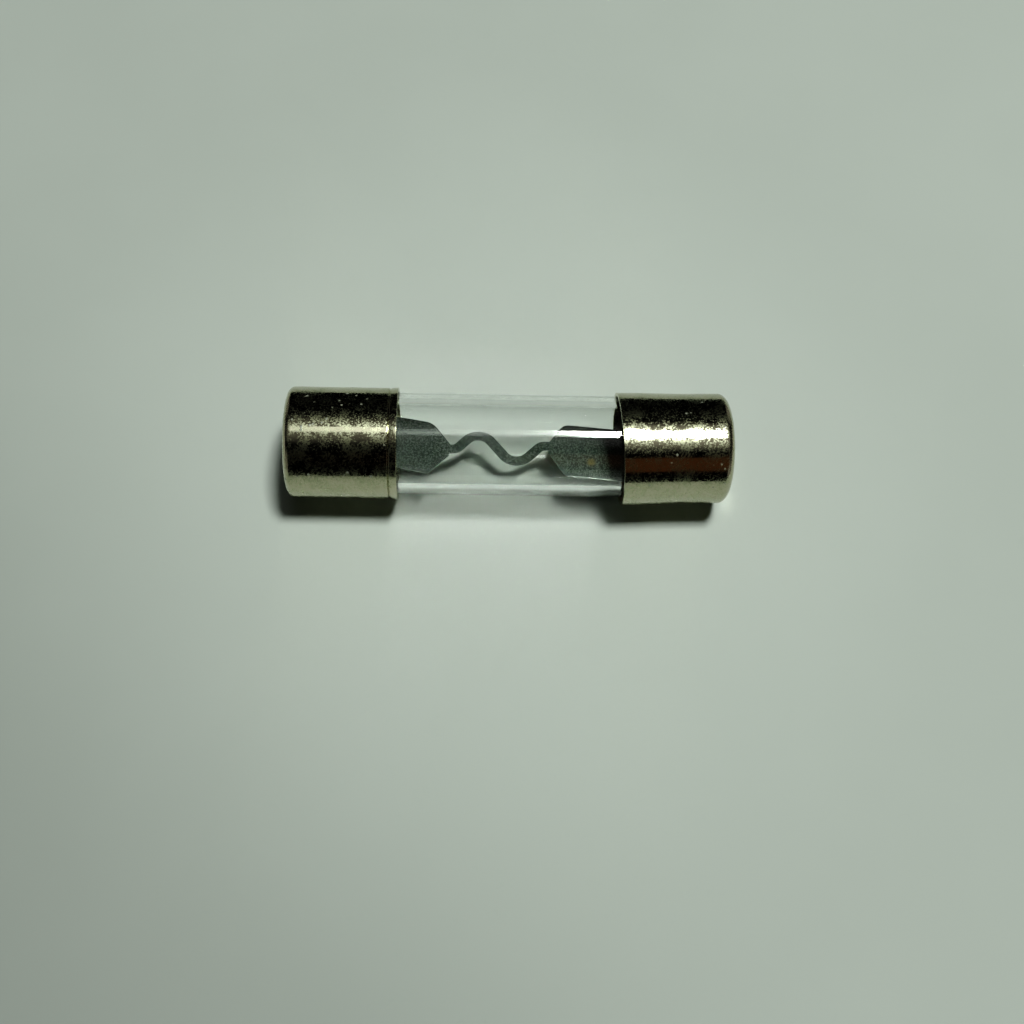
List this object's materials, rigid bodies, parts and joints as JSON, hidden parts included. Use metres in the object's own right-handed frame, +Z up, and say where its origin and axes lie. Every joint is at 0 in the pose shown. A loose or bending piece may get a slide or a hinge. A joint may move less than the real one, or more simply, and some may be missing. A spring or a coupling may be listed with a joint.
{
  "type": "cartridge fuse",
  "caption": "Glass cartridge fuse: clear tube, plated end caps and a flat stamped strip inside with a narrow S-shaped link between wide tabs.",
  "frame": {"origin": "middle of the fuse on the tube's axis", "axes": "+X along the axis towards the cap with the flared mouth, +Z up, +Y across"},
  "size_m": [0.0381, 0.0099, 0.0098],
  "materials": {
    "glass": "clear soda-lime tube, fire-polished ends",
    "cap_plating": "bright nickel plating over pressed brass, faintly hazy and spotted",
    "strip_metal": "dull grey stamped strip with a fine spangle and bright cut edges",
    "solder": "dull tin solder",
    "cement": "matte brown cement"
  },
  "bodies": {
    "root": {"glass_tube": "glass", "left_end_cap": "cap_plating", "right_end_cap": "cap_plating", "fuse_element": "strip_metal", "left_solder_joint": "solder", "right_solder_joint": "solder", "left_cement_ring": "cement", "right_cement_ring": "cement"}
  },
  "joints": []
}
